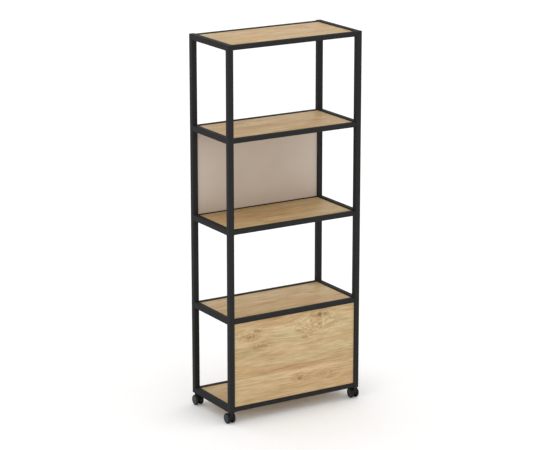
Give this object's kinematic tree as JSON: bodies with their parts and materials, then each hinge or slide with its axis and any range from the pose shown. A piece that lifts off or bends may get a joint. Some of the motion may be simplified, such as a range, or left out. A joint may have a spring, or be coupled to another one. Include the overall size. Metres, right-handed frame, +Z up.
{
  "type": "mobile shelving unit",
  "caption": "Tall open shelving unit on swivel casters: black square-tube frame, inset light oak boards, an oak front panel across the lowest bay and a plain back panel across an upper one.",
  "frame": {"origin": "on the floor under the middle of the unit, level with the lowest points of the wheels", "axes": "+X to the unit's right as seen from its front, -Y its front, +Z up"},
  "size_m": [0.815, 0.4, 2.005],
  "materials": {
    "frame_black": "satin black powder coat",
    "oak_board": "matt light oak board",
    "taupe_board": "plain matt taupe board",
    "black_plastic": "fine-grained moulded plastic",
    "wheel_plastic": "moulded nylon",
    "zinc_steel": "zinc-plated steel",
    "blackened_steel": "blackened steel"
  },
  "bodies": {
    "frame": {"front_left_post": "frame_black", "front_right_post": "frame_black", "rear_left_post": "frame_black", "rear_right_post": "frame_black", "front_rail_1": "frame_black", "rear_rail_1": "frame_black", "left_rail_1": "frame_black", "right_rail_1": "frame_black", "shelf_1": "oak_board", "front_rail_2": "frame_black", "rear_rail_2": "frame_black", "left_rail_2": "frame_black", "right_rail_2": "frame_black", "shelf_2": "oak_board", "front_rail_3": "frame_black", "rear_rail_3": "frame_black", "left_rail_3": "frame_black", "right_rail_3": "frame_black", "shelf_3": "oak_board", "front_rail_4": "frame_black", "rear_rail_4": "frame_black", "left_rail_4": "frame_black", "right_rail_4": "frame_black", "shelf_4": "oak_board", "front_rail_5": "frame_black", "rear_rail_5": "frame_black", "left_rail_5": "frame_black", "right_rail_5": "frame_black", "shelf_5": "oak_board", "front_panel": "oak_board", "back_panel": "taupe_board", "shelf_tabs": "frame_black", "front_panel_tabs": "frame_black", "back_panel_tabs": "frame_black", "shelf_screws": "blackened_steel", "panel_screws": "blackened_steel", "post_caps": "black_plastic", "caster_sockets": "black_plastic", "caster_stems": "blackened_steel", "stem_clips": "zinc_steel"},
    "front_left_caster": {"front_left_caster_fork": "black_plastic", "front_left_caster_axle": "zinc_steel"},
    "front_left_caster_left_wheel": {"front_left_caster_left_wheel": "wheel_plastic"},
    "front_left_caster_right_wheel": {"front_left_caster_right_wheel": "wheel_plastic"},
    "front_right_caster": {"front_right_caster_fork": "black_plastic", "front_right_caster_axle": "zinc_steel"},
    "front_right_caster_left_wheel": {"front_right_caster_left_wheel": "wheel_plastic"},
    "front_right_caster_right_wheel": {"front_right_caster_right_wheel": "wheel_plastic"},
    "rear_left_caster": {"rear_left_caster_fork": "black_plastic", "rear_left_caster_axle": "zinc_steel"},
    "rear_left_caster_left_wheel": {"rear_left_caster_left_wheel": "wheel_plastic"},
    "rear_left_caster_right_wheel": {"rear_left_caster_right_wheel": "wheel_plastic"},
    "rear_right_caster": {"rear_right_caster_fork": "black_plastic", "rear_right_caster_axle": "zinc_steel"},
    "rear_right_caster_left_wheel": {"rear_right_caster_left_wheel": "wheel_plastic"},
    "rear_right_caster_right_wheel": {"rear_right_caster_right_wheel": "wheel_plastic"}
  },
  "joints": [
    {"name": "front_left_swivel", "type": "hinge", "parent": "frame", "child": "front_left_caster", "pos_m": [-0.385, -0.185, 0.058], "axis": [0, 0, 1], "continuous": true},
    {"name": "front_left_left_wheel_spin", "type": "hinge", "parent": "front_left_caster", "child": "front_left_caster_left_wheel", "pos_m": [-0.385, -0.168, 0.028], "axis": [1, 0, 0], "continuous": true},
    {"name": "front_left_right_wheel_spin", "type": "hinge", "parent": "front_left_caster", "child": "front_left_caster_right_wheel", "pos_m": [-0.385, -0.168, 0.028], "axis": [1, 0, 0], "continuous": true},
    {"name": "front_right_swivel", "type": "hinge", "parent": "frame", "child": "front_right_caster", "pos_m": [0.385, -0.185, 0.058], "axis": [0, 0, 1], "continuous": true},
    {"name": "front_right_left_wheel_spin", "type": "hinge", "parent": "front_right_caster", "child": "front_right_caster_left_wheel", "pos_m": [0.385, -0.168, 0.028], "axis": [1, 0, 0], "continuous": true},
    {"name": "front_right_right_wheel_spin", "type": "hinge", "parent": "front_right_caster", "child": "front_right_caster_right_wheel", "pos_m": [0.385, -0.168, 0.028], "axis": [1, 0, 0], "continuous": true},
    {"name": "rear_left_swivel", "type": "hinge", "parent": "frame", "child": "rear_left_caster", "pos_m": [-0.385, 0.185, 0.058], "axis": [0, 0, 1], "continuous": true},
    {"name": "rear_left_left_wheel_spin", "type": "hinge", "parent": "rear_left_caster", "child": "rear_left_caster_left_wheel", "pos_m": [-0.385, 0.168, 0.028], "axis": [1, 0, 0], "continuous": true},
    {"name": "rear_left_right_wheel_spin", "type": "hinge", "parent": "rear_left_caster", "child": "rear_left_caster_right_wheel", "pos_m": [-0.385, 0.168, 0.028], "axis": [1, 0, 0], "continuous": true},
    {"name": "rear_right_swivel", "type": "hinge", "parent": "frame", "child": "rear_right_caster", "pos_m": [0.385, 0.185, 0.058], "axis": [0, 0, 1], "continuous": true},
    {"name": "rear_right_left_wheel_spin", "type": "hinge", "parent": "rear_right_caster", "child": "rear_right_caster_left_wheel", "pos_m": [0.385, 0.168, 0.028], "axis": [1, 0, 0], "continuous": true},
    {"name": "rear_right_right_wheel_spin", "type": "hinge", "parent": "rear_right_caster", "child": "rear_right_caster_right_wheel", "pos_m": [0.385, 0.168, 0.028], "axis": [1, 0, 0], "continuous": true}
  ]
}
